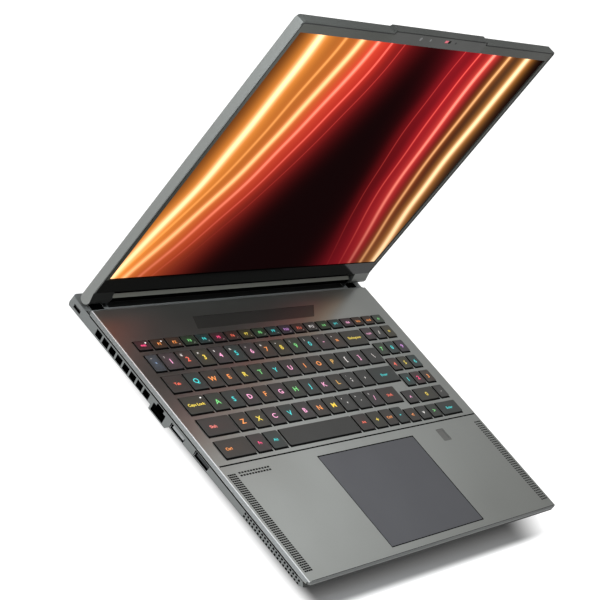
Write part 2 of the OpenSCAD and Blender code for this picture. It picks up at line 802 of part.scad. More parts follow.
// metal shell open towards -X with a tongue, mouth at x
module shell_left(x, y, z0, z1, w, deep, tongue) {
  difference() {
    span(x, x + deep, y - w / 2, y + w / 2, z0, z1);
    span(x - 1, x + deep - 1, y - w / 2 + 0.4, y + w / 2 - 0.4, z0 + 0.4, z1 - 0.4);
  }
  span(x + 0.7, x + deep - 0.5, y - w / 2 + 1.4, y + w / 2 - 1.4,
    (z0 + z1 - tongue) / 2, (z0 + z1 + tongue) / 2);
}

module network_port() {
  color("#202122") difference() {
    span(-hw + 6.2, -hw + 20.2, net_y - 6.3, net_y + 6.3, 4.1, 10.7);
    span(-hw + 5, -hw + 19, net_y - 5.7, net_y + 5.7, 4.7, 10.1);
  }
}

module usb_port_left_rear() {
  color("#b9bbbb") union() shell_left(-hw + 2.7, usb1_y, 7.1, 11.7, 14.4, 15.5, 1.8);
}

module usb_port_left_front() {
  color("#5a5b5c") union() shell_left(-hw + 2.5, usb2_y, 7.9, 13.3, 14.4, 15.3, 1.8);
}

module ports_right() {
  color("#8a8c8c") union() {
    mirror([1, 0, 0]) shell_left(-hw + 2.5, disp_y - 92, 7.5, 12.9, 14.4, 15.3, 1.8);
    mirror([1, 0, 0]) shell_left(-hw + 2.1, disp_y - 114, 9.6, 11.8, 12.8, 15.7, 0.4);
    translate([hw - 16, disp_y - 132, 10.4]) rotate([0, 90, 0]) difference() {
      cylinder(h = 12, r = 2.5);
      translate([0, 0, 1]) cylinder(h = 12, r = 1.8);
    }
    span(hw - 28, hw - 15.9, disp_y - 136, disp_y - 84, board_z + board_t, 11);
  }
}

module ports_rear() {
  color("#8a8c8c") union() {
    for (x = [-29, 29]) {
      translate([x, yr - 13.4, 0]) difference() {
        span(-4.4, 4.4, 0, 9.6, 8.1, 11.1);
        span(-4, 4, 1, 10, 8.5, 10.7);
      }
    }
    difference() {
      span(-7.4, 7.4, yr - 13.4, yr - 3.8, 7.4, 11.8);
      span(-7, 7, yr - 12.4, yr, 7.8, 11.4);
    }
    translate([52, yr - 13.4, 9.6]) rotate([-90, 0, 0]) difference() {
      cylinder(h = 9.6, r = 2.8);
      translate([0, 0, 1]) cylinder(h = 9.6, r = 2.3);
    }
    span(-36, 56, yr - 16, yr - 13.3, 6.4, 12);
  }
}

// lid

// notch that lets the hinge eye turn beside the bar
module hinge_notch() {
  for (s = [-1, 1]) {
    span(s * eye_x - 1.5, s * eye_x + 1.5, axis_y - 9, axis_y + 9, axis_z - 9, axis_z + 5);
  }
}

// end of the lid round the hinge axis, from x0 to x1
module ear(x0, x1) {
  rod_x(x0, x1, axis_y, axis_z, barrel_r);
  along_x(x0, x1, [[axis_y - barrel_r, axis_z], [axis_y, axis_z],
    [lid_front + 0.5, chin_z0], [lid_front, chin_z0]]);
}

// raised lip on the top edge with a sloping top and slanted ends
module camera_lip() {
  intersection() {
    along_x(-66, 66, [[lid_front, lid_top - 6], [lid_front, lid_top + camera_lip_h - 0.8],
      [lid_back - 1.2, lid_top + camera_lip_h], [lid_back - 0.4, lid_top + camera_lip_h - 0.6],
      [lid_back - 0.4, lid_top - 6]]);
    along_y(lid_front, lid_back, [[-66, lid_top - 6], [66, lid_top - 6], [66, lid_top],
      [66 - camera_lip_h, lid_top + camera_lip_h], [-66 + camera_lip_h, lid_top + camera_lip_h],
      [-66, lid_top]]);
  }
}

// front face of the lip, up to its slanted ends
module lip_front(inset, y0, y1) {
  rise = camera_lip_h - 0.8;
  side = 66 - inset;
  along_y(y0, y1, [[-side, lid_top - 3], [side, lid_top - 3], [side, lid_top - inset],
    [side - rise, lid_top + rise - inset], [-side + rise, lid_top + rise - inset],
    [-side, lid_top - inset]]);
}

module lid_cover() {
  color("#8b8d8c") difference() {
    union() {
      intersection() {
        panel(-hw, hw, axis_z - 10, lid_top, lid_front, lid_back, 3.6);
        span(-hw, hw, lid_front, lid_back, axis_z, lid_top);
      }
      camera_lip();
      ear(-hw, -ear_in);
      ear(ear_in, hw);
    }
    // tray for the bezel and the screen
    panel(-hw + 1.4, hw - 1.4, chin_z0, lid_top - 1.4, lid_front - 2, lid_back - 1, 2.4);
    span(-hw + 1.4, hw - 1.4, lid_front - 2, lid_back - 1, chin_z0, chin_z0 + 4);
    lip_front(0.45, lid_front - 2, disp_y);
    // room for the hinge bar and the eyes
    span(-ear_in, ear_in, lid_front - 2, lid_back - 1, axis_z - 10, chin_z0 + eps);
    span(-bar_end - eps, bar_end + eps, axis_y, lid_back + 1, axis_z - 10, axis_z + 1.6);
    hinge_notch();
    for (s = [-1, 1]) {
      rod_x(s * (eye_x + 5) - 3.9, s * (eye_x + 5) + 3.9, axis_y, axis_z, pin_r + pin_fit);
    }
  }
}

// thin rubber line between the metal rim and the bezel
module lid_gasket() {
  color("#151515") difference() {
    union() {
      intersection() {
        panel(-hw + 1.45, hw - 1.45, chin_z0 - 9, lid_top - 1.45, lid_front - 0.2,
          lid_front + 0.9, 2.35);
        span(-hw, hw, lid_front - 1, disp_y + 1, chin_z0, lid_top);
      }
      lip_front(0.5, lid_front - 0.2, lid_front + 0.9);
    }
    panel(-hw + 1.95, hw - 1.95, chin_z0 - 9, lid_top - 1.95, lid_front - 1, disp_y + 1, 1.9);
    lip_front(1, lid_front - 1, disp_y + 1);
  }
}

module screen_bezel() {
  color("#4a4b48") difference() {
    union() {
      intersection() {
        panel(-hw + 2, hw - 2, screen_z0 - 9, lid_top - 2, lid_front, disp_y, 1.85);
        span(-hw, hw, lid_front, disp_y, screen_z0 - 0.1, lid_top);
      }
      lip_front(1.05, lid_front, disp_y);
    }
    span(-screen_w / 2, screen_w / 2, lid_front - 1, disp_y + 1, screen_z0 - 1, screen_z1);
    // window of the camera slider and small sensor openings
    span(5.8, 14, lid_front - 1, disp_y + 1, lens_z - 1.15, lens_z + 1.15);
    for (x = [-28, -14.5, 21.5]) {
      translate([x, disp_y + 1, lens_z - 0.3]) rotate([90, 0, 0]) cylinder(h = 3, r = 0.6);
    }
  }
}

module chin_trim() {
  color("#101112") span(-hw + 2, hw - 2, lid_front, disp_y, chin_z0, screen_z0 - 0.1);
}

module display_panel() {
  color("#14100f") span(-screen_w / 2 - 1.6, screen_w / 2 + 1.6, disp_y, lid_back - 1,
    screen_z0 - 4, screen_z1 + 1);
}

// faceted bar between the ears; the pins turn in its ends
module hinge_bar() {
  color("#3b3d3a") difference() {
    union() {
      along_x(-bar_end, bar_end, [[axis_y - 2.6, axis_z + 1], [axis_y - 0.4, axis_z + 3],
        [axis_y + 3.1, axis_z + 3], [axis_y + 3.1, axis_z + 1.6], [axis_y + 4.1, axis_z + 1.6],
        [axis_y + 4.1, axis_z - 1.6], [axis_y + 2.6, axis_z - 3.6],
        [axis_y - 1.4, axis_z - 3.6], [axis_y - 2.6, axis_z - 2.6]]);
      span(-bar_end, bar_end, axis_y + 1.9, lid_back - 1, axis_z + 1.6, chin_z0);
    }
    for (s = [-1, 1]) {
      rod_x(s * (eye_x - 4) - 4, s * (eye_x - 4) + 4, axis_y, axis_z, pin_r + pin_fit);
    }
  }
}

module webcam_module() {
  color("#1a1b1c") union() {
    span(-34, 30, disp_y, disp_y + 2.4, lid_top - 6.4, lid_top - 1.5);
    translate([8.2, disp_y + 0.1, lens_z]) rotate([90, 0, 0]) cylinder(h = 0.4, r = 0.9);
    span(-34, 30, disp_y + 2.3, lid_back - 1, lid_top - 5, lid_top - 3);
  }
}

// sliding cover in the window; it hides the lens at rest
module camera_shutter() {
  color("#d8505e") span(6, 10.4, lid_front + 0.1, lid_front + 0.6, lens_z - 1.05, lens_z + 1.05);
}

// output

top_case();
deck_inlay();
bottom_cover();
rear_trim();
rubber_feet();
bottom_screws();
motherboard();
battery();
cold_plate();
heat_pipes();
fin_stacks();
fan_housing_left();
fan_housing_right();
fan_rotor_left();
fan_rotor_right();
memory_modules();
solid_state_drive();
wireless_card();
speaker_left();
speaker_right();
keyboard_plate();
touchpad();
fingerprint_reader();
hinge_bracket_left();
hinge_bracket_right();
network_port();
usb_port_left_rear();
usb_port_left_front();
ports_right();
ports_rear();
lid_cover();
screen_bezel();
chin_trim();
display_panel();
hinge_bar();
webcam_module();
camera_shutter();
lid_gasket();
keys_function();
key_power();
keys_number();
key_backspace();
key_tab();
keys_upper();
key_caps_lock();
keys_home();
key_enter();
key_shift_left();
keys_lower();
key_shift_right();
keys_modifier_left();
keys_modifier_right();
key_space();
key_arrow_left();
key_arrow_down();
key_arrow_right();
key_arrow_up();
keys_numpad();
key_numpad_zero();
key_numpad_enter();
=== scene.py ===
import json
import math

import bmesh
import bpy
from mathutils import Matrix, Vector

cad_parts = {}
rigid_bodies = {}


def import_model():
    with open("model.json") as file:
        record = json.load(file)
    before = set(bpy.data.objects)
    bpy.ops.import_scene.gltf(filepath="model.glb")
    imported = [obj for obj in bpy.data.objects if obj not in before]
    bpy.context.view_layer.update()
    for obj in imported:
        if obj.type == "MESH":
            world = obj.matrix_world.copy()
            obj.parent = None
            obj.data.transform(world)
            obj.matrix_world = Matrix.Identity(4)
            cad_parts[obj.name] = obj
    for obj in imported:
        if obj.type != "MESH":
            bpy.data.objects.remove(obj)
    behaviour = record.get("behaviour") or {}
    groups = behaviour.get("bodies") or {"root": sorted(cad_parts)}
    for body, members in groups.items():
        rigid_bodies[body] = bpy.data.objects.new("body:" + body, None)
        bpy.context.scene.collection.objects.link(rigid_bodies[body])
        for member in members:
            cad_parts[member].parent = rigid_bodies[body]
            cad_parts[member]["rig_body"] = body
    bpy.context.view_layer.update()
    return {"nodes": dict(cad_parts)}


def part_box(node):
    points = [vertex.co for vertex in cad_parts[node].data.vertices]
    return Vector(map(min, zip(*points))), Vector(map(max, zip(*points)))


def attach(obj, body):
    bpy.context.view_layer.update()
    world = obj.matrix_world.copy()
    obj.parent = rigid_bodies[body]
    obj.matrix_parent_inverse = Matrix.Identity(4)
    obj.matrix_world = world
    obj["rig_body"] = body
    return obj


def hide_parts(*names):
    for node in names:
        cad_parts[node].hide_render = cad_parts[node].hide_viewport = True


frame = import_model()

mm = 0.001
nodes = frame["nodes"]
# places on the CAD nodes that the details are measured from, in mm
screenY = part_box("display_panel")[0].y / mm
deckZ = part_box("top_case")[1].z / mm
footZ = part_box("bottom_screws")[0].z / mm
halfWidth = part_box("top_case")[1].x / mm
halfDepth = -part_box("top_case")[0].y / mm
padLow, padHigh = (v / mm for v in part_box("touchpad"))
print("frame loaded")


# camera: a long lens, rolled, looking along the base from the left
# its place is measured from the screen plane and the palm rest
cameraSettings = {
    "focal": 119.893,
    "sensor": 36,
    "place": (-1209.19, -542.107, 628.822),
    "azimuth": 67.5778,
    "elevation": 24.4311,
    "roll": 39.785,
    "clip": (0.05, 60),
}


def makeCamera(s):
    data = bpy.data.cameras.new("camera")
    data.lens = s["focal"]
    data.sensor_width = s["sensor"]
    data.clip_start, data.clip_end = s["clip"]
    camera = bpy.data.objects.new("camera", data)
    bpy.context.scene.collection.objects.link(camera)
    az, el, roll = (math.radians(s[k]) for k in ("azimuth", "elevation", "roll"))
    look = Vector((math.sin(az) * math.cos(el), math.cos(az) * math.cos(el), -math.sin(el)))
    level = look.cross(Vector((0, 0, 1))).normalized()
    upright = level.cross(look)
    right = level * math.cos(roll) + upright * math.sin(roll)
    top = upright * math.cos(roll) - level * math.sin(roll)
    x, y, z = s["place"]
    turn = Matrix((right, top, -look)).transposed().to_4x4()
    camera.matrix_world = Matrix.Translation(Vector((x, y + screenY, z + deckZ)) * mm) @ turn
    bpy.context.scene.camera = camera


makeCamera(cameraSettings)
print("camera")


def linearColour(text):
    # an sRGB hex value as the linear colour that shaders use
    channels = [int(text[i : i + 2], 16) / 255 for i in (1, 3, 5)]
    curve = [c / 12.92 if c <= 0.04045 else ((c + 0.055) / 1.055) ** 2.4 for c in channels]
    return tuple(curve) + (1.0,)


def addNode(tree, kind, sockets, **settings):
    # one shader node: its settings, then a value or a link for each named socket
    node = tree.nodes.new("ShaderNode" + kind)
    for name, value in settings.items():
        setattr(node, name, value)
    for name, value in sockets.items():
        if isinstance(value, bpy.types.NodeSocket):
            tree.links.new(value, node.inputs[name])
        else:
            node.inputs[name].default_value = value
    return node


def newMaterial(name):
    material = bpy.data.materials.new(name)
    material.use_nodes = True
    tree = material.node_tree
    return material, tree, tree.nodes["Principled BSDF"]


# colour, roughness, metal and specular of each finish
# grain is the size of its finest texture in mm, and relief how deep that texture is in mm
# both are coarser than on the real surface, where they would be too fine to show
finishes = {
    # bead-blasted anodised aluminium: an even fine grain that blurs what it reflects
    "blastedAluminium": dict(colour="#8c8e8a", rough=0.31, metal=0.9, grain=0.3, relief=0.01, specular=0.3),
    # the milled upper edge of the deck, brighter than the blasted faces: partly its own cut finish, partly a
    # painted highlight along the edge
    "milledEdgeHighlight": dict(colour="#c6c8c8", rough=0.5, metal=0.4, grain=0.3, relief=0.004),
    # the same plate on its bevel and front edge: painted shade makes it darker, and it is blasted coarser and
    # so duller
    "bevelAndFrontShade": dict(colour="#707271", rough=0.5, metal=0.4, grain=0.3, relief=0.01),
    # the front of the lower cover, dark because it faces down and away from the light
    "frontAluminium": dict(colour="#353635", rough=0.6, metal=0.0, grain=0.3, relief=0.01, specular=0.1),
    # painted magnesium of the lower cover: satin, a shade darker than the deck
    "paintedCover": dict(colour="#6f7271", rough=0.5, metal=0.3, grain=0.4, relief=0.012, specular=0.3),
    # anodised aluminium of the lid, duller than the deck
    "lidAluminium": dict(colour="#7c7e7b", rough=0.45, metal=0.5, grain=0.35, relief=0.01),
    # its top edge, painted darker as shade, and the camera lip in a darker tone, with the lid's forward rim
    # chamfer painted dark as shade
    "lidTopShade": dict(colour="#484a47", rough=0.6, metal=0.3, grain=0.35, relief=0.01, specular=0.3),
    "lipAndShadedRim": dict(colour="#3f413e", rough=0.55, metal=0.4, grain=0.35, relief=0.01, specular=0.3),
    # coated zinc of the hinge ears: soft satin on the right, in deep shade on the left
    "coatedZinc": dict(colour="#4c4e4a", rough=0.45, metal=0.5, grain=0.4, relief=0.02, change=0.1),
    "shadedZinc": dict(colour="#191a19", rough=0.4, metal=0.2, grain=0.4, relief=0.02, specular=0.2),
    # moulded ABS with a fine spark-eroded texture: matt dark grey
    "texturedBezel": dict(colour="#33342f", rough=0.5, grain=0.2, relief=0.02, change=0.1, specular=0.2),
    # the same mould polished smoother round the camera, and so darker
    "smoothBezel": dict(colour="#262723", rough=0.4, grain=0.2, relief=0.01, specular=0.2),
    # gloss moulded strip under the screen: near black, with clear reflections
    "glossChin": dict(colour="#020202", rough=0.12, grain=0.7, relief=0.0, specular=0.04),
    # brushed aluminium front of the hinge bar: fine lines along its length
    "brushedBar": dict(colour="#6e7069", rough=0.34, metal=0.8, grain=0.5, relief=0.01, stretch=(0.03, 1, 1)),
    # moulded black ABS of the rear trim, the camera block and the network socket: near black, hardly a shine
    "mouldedPlastic": dict(colour="#070807", rough=0.5, grain=0.25, relief=0.02, change=0.12, specular=0.08),
    # painted shade for the unlit depth in slots, gaps, openings and sockets, under the hinge bar and in the
    # dark lines and wells: black without a shine
    "paintedDepthShade": dict(colour="#030303", rough=0.9, grain=0.25, relief=0.0, specular=0.0),
    # smooth dark acrylic of the deck inlay: a soft dim reflection
    "acrylicInlay": dict(colour="#2c2c2a", rough=0.32, grain=0.6, relief=0.002, specular=0.35),
    # moulded silicone rubber of the feet and the lid seal: matt black
    "siliconeRubber": dict(colour="#141414", rough=0.75, grain=0.2, relief=0.03, change=0.15, specular=0.3),
    # etched glass of the touchpad: a smooth matt blue-grey sheet
    "etchedGlass": dict(colour="#46474b", rough=0.42, grain=0.25, relief=0.003, change=0.03, specular=0.3),
    # hard-coated window of the fingerprint reader: satin, a shade darker than the deck
    "coatedReader": dict(colour="#5b5c59", rough=0.4, grain=0.25, relief=0.003, change=0.03, specular=0.3),
    # moulded PBT key caps: a fine matt texture
    "keyTop": dict(colour="#30312f", rough=0.5, grain=0.2, relief=0.02, change=0.1, specular=0.3),
    # the same caps in the row nearest the lid, which keeps the light off them
    "keyTopShaded": dict(colour="#20201e", rough=0.5, grain=0.2, relief=0.02, change=0.1, specular=0.25),
    # their flanks below the deck line, and the marks that stand for slots and holes in the deck: painted
    # shade, near black
    "flankAndHoleShade": dict(colour="#040404", rough=0.7, grain=0.25, relief=0.02, specular=0.1),
    # nickel-plated steel shells of the sockets: bright, with soft reflections
    "nickelSteel": dict(colour="#8f9192", rough=0.35, metal=1.0, grain=0.6, relief=0.01),
    # stamped steel with a black oxide skin: dark with a soft shine
    "blackenedSteel": dict(colour="#3c3e3f", rough=0.4, metal=0.9, grain=0.6, relief=0.015),
    # black zinc on the screw heads: darker still, with small highlights
    "screwSteel": dict(colour="#232425", rough=0.35, metal=0.9, grain=0.5, relief=0.015),
    # glass-fibre board with a green solder mask: a dull dark green
    "boardLaminate": dict(colour="#17382a", rough=0.45, grain=1.1, relief=0.03, change=0.2),
    # polyester wrap of the battery cells: smooth near-black satin
    "shrinkWrap": dict(colour="#1c1d1f", rough=0.5, grain=0.7, relief=0.02),
    # drawn copper of the heat pipes: a warm orange metal
    "drawnCopper": dict(colour="#b06a3c", rough=0.3, metal=1.0, grain=0.7, relief=0.01),
    # folded aluminium of the fins: pale and bright
    "foldedAluminium": dict(colour="#a6a8a8", rough=0.35, metal=1.0, grain=0.6, relief=0.01),
    # glass-filled nylon of fans and speaker boxes: matt dark grey
    "fanPlastic": dict(colour="#1d1e20", rough=0.5, grain=0.3, relief=0.02),
    # moulded acetal of the camera shutter: a smooth strong red
    "redAcetal": dict(colour="#d83a55", rough=0.35, grain=0.3, relief=0.003),
    # tinted glass of the sensor windows: a smooth mid grey
    "sensorGlass": dict(colour="#515251", rough=0.4, grain=0.3, relief=0.003),
}
# what every finish shares
texture = {
    "blotch": 55,  # mm, slow change of tone across a surface
    "detail": 3,
    "grainShare": 0.6, "blotchShare": 0.4,  # how far the tone follows each of them
    "noise": (0.3, 0.7),  # part of the noise that is spread from dark to light
    "change": 0.05, "roughChange": 0.1,
    "bump": 0.5, "specular": 0.5,
}


def surface(name, s):
    material, tree, shader = newMaterial(name)
    base = linearColour(s["colour"])
    change = s.get("change", texture["change"])
    low, high = texture["noise"]
    detail = texture["detail"]
    place = addNode(tree, "TexCoord", {}).outputs["Object"]
    if "stretch" in s:
        place = addNode(tree, "Mapping", {"Vector": place, "Scale": s["stretch"]}).outputs["Vector"]
    grain = addNode(tree, "TexNoise", {"Vector": place, "Scale": 1 / (s["grain"] * mm), "Detail": detail})
    blotch = addNode(tree, "TexNoise", {"Vector": place, "Scale": 1 / (texture["blotch"] * mm),
        "Detail": detail})
    both = addNode(tree, "Math", {0: grain.outputs["Fac"], 1: texture["grainShare"]}, operation="MULTIPLY")
    both = addNode(tree, "Math", {0: blotch.outputs["Fac"], 1: texture["blotchShare"], 2: both.outputs[0]},
        operation="MULTIPLY_ADD")
    spread = addNode(tree, "MapRange", {"Value": both.outputs[0], "From Min": low, "From Max": high})
    mix = addNode(tree, "Mix", {}, data_type="RGBA")
    mix.inputs["A"].default_value = tuple(c * (1 - change) for c in base[:3]) + (1,)
    mix.inputs["B"].default_value = tuple(min(1, c * (1 + change)) for c in base[:3]) + (1,)
    tree.links.new(spread.outputs["Result"], mix.inputs["Factor"])
    tree.links.new(mix.outputs["Result"], shader.inputs["Base Color"])
    rough = addNode(tree, "MapRange", {"Value": blotch.outputs["Fac"], "From Min": low, "From Max": high,
        "To Min": s["rough"] * (1 - texture["roughChange"]),
        "To Max": s["rough"] * (1 + texture["roughChange"])})
    tree.links.new(rough.outputs["Result"], shader.inputs["Roughness"])
    if s["relief"]:
        bump = addNode(tree, "Bump", {"Height": grain.outputs["Fac"], "Strength": texture["bump"],
            "Distance": s["relief"] * mm})
        tree.links.new(bump.outputs["Normal"], shader.inputs["Normal"])
    shader.inputs["Metallic"].default_value = s.get("metal", 0.0)
    shader.inputs["Specular IOR Level"].default_value = s.get("specular", texture["specular"])
    return material


materials = {name: surface(name, s) for name, s in finishes.items()}

# backlit legends: translucent ink, lit from below in changing colours
legendColours = {
    "m": "#ff4f86", "r": "#ee6a52", "o": "#f0954c", "y": "#e8d04e", "g": "#74d27a", "t": "#3fd0d0",
    "p": "#eea6cc", "w": "#e6e4e0", "v": "#c68ad6", "a": "#d9a84e", "b": "#9fc0ea", "s": "#f08078",
}
legendLight = {"strength": 0.4, "rough": 0.5}


def legendInk(code, text):
    material, tree, shader = newMaterial("litInk_" + code)
    shader.inputs["Base Color"].default_value = linearColour(text)
    shader.inputs["Roughness"].default_value = legendLight["rough"]
    shader.inputs["Emission Color"].default_value = linearColour(text)
    shader.inputs["Emission Strength"].default_value = legendLight["strength"]
    return material


inks = {code: legendInk(code, text) for code, text in legendColours.items()}


def tintCaps(name):
    # painted light: the backlight attribute adds to the base colour the glow that shines through round the
    # legend
    tree = materials[name].node_tree
    shader = tree.nodes["Principled BSDF"]
    plain = shader.inputs["Base Color"].links[0].from_socket
    tint = addNode(tree, "Attribute", {}, attribute_name="backlight")
    mix = addNode(tree, "Mix", {}, data_type="RGBA", blend_type="ADD")
    mix.inputs["Factor"].default_value = 1.0
    tree.links.new(plain, mix.inputs["A"])
    tree.links.new(tint.outputs["Color"], mix.inputs["B"])
    tree.links.new(mix.outputs["Result"], shader.inputs["Base Color"])


tintCaps("keyTop")
tintCaps("keyTopShaded")

# lit screen: arcs of warm light that fan out from the lower corners over a dark ground
# across and up run -1..1 and 0..1 over the picture
screenSettings = {
    "width": 344.6,
    "low": 22.7,
    "height": 215.4,
    "ground": "#120506",
    "glass": "#020202",
    "rough": 0.3,
    "waver": 0.05,  # how far the arcs wander
    "waverSize": 110,  # mm
    # start, lean, bow, widths, colours and strengths of core and halo, strength at the foot
    "arcs": [
        (-0.99, 0.16, 0.05, 0.024, 0.075, "#ffe8bc", "#e08c38", 1.3, 1.00, 0.7),
        (-0.97, 0.30, 0.07, 0.010, 0.045, "#f0b068", "#a85c24", 0.7, 0.55, 0.4),
        (-0.90, 0.34, 0.08, 0.019, 0.055, "#ffd49c", "#d06c30", 1.2, 0.85, 0.5),
        (-0.80, 0.36, 0.08, 0.013, 0.075, "#ffa088", "#e03c30", 1.1, 1.00, 0.2),
        (-0.72, 0.38, 0.09, 0.007, 0.050, "#ff8070", "#c02420", 0.8, 0.70, 0.1),
        (-0.64, 0.40, 0.10, 0.004, 0.050, "#e04c44", "#8c1818", 0.6, 0.45, 0.0),
        (0.58, -0.30, -0.10, 0.004, 0.060, "#e04c44", "#8c1418", 0.6, 0.55, 0.1),
        (0.68, -0.27, -0.09, 0.006, 0.050, "#ff7060", "#b82022", 0.8, 0.70, 0.1),
        (0.77, -0.24, -0.08, 0.014, 0.060, "#ffa890", "#e04038", 1.1, 0.95, 0.2),
        (0.88, -0.20, -0.07, 0.014, 0.045, "#ffc486", "#b06428", 1.0, 0.65, 0.4),
        (1.00, -0.14, -0.05, 0.024, 0.060, "#ffe8bc", "#dc8c3c", 1.3, 0.90, 0.6),
    ],
    "cloudBow": 0.05,
    # wide clouds of light: centre, lean, width, colour, strength
    "clouds": [
        (-0.94, 0.22, 0.24, "#8a4c1c", 1.5),
        (-0.66, 0.42, 0.16, "#6c1014", 0.9),
        (0.68, -0.38, 0.18, "#74101a", 0.9),
        (0.94, -0.20, 0.12, "#4c3220", 0.8),
    ],
}


def screenPicture(s):
    material, tree, shader = newMaterial("litScreen")
    place = addNode(tree, "TexCoord", {}).outputs["Object"]
    split = addNode(tree, "SeparateXYZ", {0: place})
    across = addNode(tree, "Math", {0: split.outputs["X"], 1: s["width"] / 2 * mm}, operation="DIVIDE")
    across = across.outputs[0]
    up = addNode(tree, "Math", {0: split.outputs["Z"], 1: (deckZ + s["low"]) * mm}, operation="SUBTRACT")
    up = addNode(tree, "Math", {0: up.outputs[0], 1: s["height"] * mm}, operation="DIVIDE").outputs[0]
    drift = addNode(tree, "TexNoise", {"Vector": place, "Scale": 1 / (s["waverSize"] * mm), "Detail": 1})
    drift = addNode(tree, "Math", {0: drift.outputs["Fac"], 1: s["waver"] * 2, 2: -s["waver"]},
        operation="MULTIPLY_ADD").outputs[0]
    bow = addNode(tree, "Math", {0: up, 1: math.pi}, operation="MULTIPLY").outputs[0]
    bow = addNode(tree, "Math", {0: bow}, operation="SINE").outputs[0]
    ground = linearColour(s["ground"])[:3]
    total = addNode(tree, "VectorMath", {0: ground, 1: (0, 0, 0)}, operation="ADD").outputs[0]

    def distance(start, lean, swell):
        # how far a point lies to the right of an arc
        line = addNode(tree, "Math", {0: up, 1: lean, 2: start}, operation="MULTIPLY_ADD")
        line = addNode(tree, "Math", {0: bow, 1: swell, 2: line.outputs[0]}, operation="MULTIPLY_ADD")
        line = addNode(tree, "Math", {0: line.outputs[0], 1: drift}, operation="ADD")
        return addNode(tree, "Math", {0: across, 1: line.outputs[0]}, operation="SUBTRACT").outputs[0]

    def bell(away, width):
        # 1 on the arc, and less with the distance from it
        square = addNode(tree, "Math", {0: away, 1: away}, operation="MULTIPLY")
        power = addNode(tree, "Math", {0: square.outputs[0], 1: -1 / width**2}, operation="MULTIPLY")
        return addNode(tree, "Math", {0: power.outputs[0]}, operation="EXPONENT").outputs[0]

    def addLight(total, colour, amount, strength):
        amount = addNode(tree, "Math", {0: amount, 1: strength}, operation="MULTIPLY").outputs[0]
        light = addNode(tree, "VectorMath", {0: linearColour(colour)[:3], "Scale": amount}, operation="SCALE")
        return addNode(tree, "VectorMath", {0: total, 1: light.outputs[0]}, operation="ADD").outputs[0]

    for start, lean, swell, core, halo, coreColour, haloColour, coreStrength, haloStrength, foot in s["arcs"]:
        away = distance(start, lean, swell)
        level = addNode(tree, "Math", {0: up, 1: 1 - foot, 2: foot}, operation="MULTIPLY_ADD").outputs[0]
        for width, colour, strength in ((core, coreColour, coreStrength), (halo, haloColour, haloStrength)):
            amount = addNode(tree, "Math", {0: bell(away, width), 1: level}, operation="MULTIPLY").outputs[0]
            total = addLight(total, colour, amount, strength)
    for start, lean, width, colour, strength in s["clouds"]:
        total = addLight(total, colour, bell(distance(start, lean, s["cloudBow"]), width), strength)
    tree.links.new(total, shader.inputs["Emission Color"])
    shader.inputs["Emission Strength"].default_value = 1.0
    shader.inputs["Base Color"].default_value = linearColour(s["glass"])
    shader.inputs["Roughness"].default_value = s["rough"]
    shader.inputs["Specular IOR Level"].default_value = 0.0
    return material


materials["litScreen"] = screenPicture(screenSettings)
print("materials")


def addObject(name, bm, slots, body, replaced=()):
    mesh = bpy.data.meshes.new(name)
    bm.to_mesh(mesh)
    bm.free()
    for s in slots:
        mesh.materials.append(s)
    obj = bpy.data.objects.new(name, mesh)
    bpy.context.scene.collection.objects.link(obj)
    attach(obj, body)
    if replaced:
        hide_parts(*replaced)
    return obj


def addBlock(bm, x, y, z):
    # a box between two places on each axis, in mm
    low = Vector((x[0], y[0], z[0])) * mm
    high = Vector((x[1], y[1], z[1])) * mm
    place = Matrix.Translation((low + high) / 2) @ Matrix.Diagonal((high - low).to_4d())
    return bmesh.ops.create_cube(bm, size=1, matrix=place)["verts"]


def paintNode(name, *slots, choose=None):
    mesh = nodes[name].data
    mesh.materials.clear()
    for s in slots:
        mesh.materials.append(materials[s])
    for p in mesh.polygons:
        p.material_index = choose(p.center / mm, p.normal) if choose else 0


# zones of each CAD node that get a finish of their own: places in mm, tilts as parts of a face's normal
deckZones = {
    "bevel": 2.3, "frontEdge": 1.5, "sideRim": 1, "hingeSide": 7.6, "below": 0.3,
    "frontTilt": -0.5, "milledTilt": (0.93, 0.985), "upright": 0.3,
}


def deckFinish(c, n):
    # 0 plate, 1 milled upper edge with its painted highlight, 2 bevel and front edge in painted shade, 3
    # walls of the openings in painted shade
    z = deckZones
    if n.y < z["frontTilt"] and c.y < -halfDepth + z["frontEdge"]:
        return 2
    steep, flat = z["milledTilt"]
    if c.z > deckZ - z["bevel"] and steep < n.z < flat:
        return 1
    if c.z > deckZ - z["bevel"] and z["upright"] < n.z <= steep:
        return 2
    between = -halfDepth + z["frontEdge"] < c.y < screenY - z["hingeSide"]
    inside = between and abs(c.x) < halfWidth - z["sideRim"]
    return 3 if inside and (abs(n.z) < z["upright"] or c.z < deckZ - z["below"]) else 0


coverZones = {
    "front": 15, "frontTilt": -0.2, "upright": 0.3, "across": 0.5,
    "seam": 2.65, "seamRim": 2.3, "seamEnd": 7,  # dark joint below the deck
    "floor": 3.9,  # underside of all openings
    "sockets": 22, "socketsTop": 3.3, "socketsEnd": 5.5,
    "rear": 15, "rearTop": 4.9, "rearEnd": 6,
    # pocket of the network socket
    "pocketEnds": (-102.6, -81.5), "pocketSlack": 0.1, "pocketTilt": (0.3, 0.97),
    "intake": 1.7, "intakeEnd": 8,
}


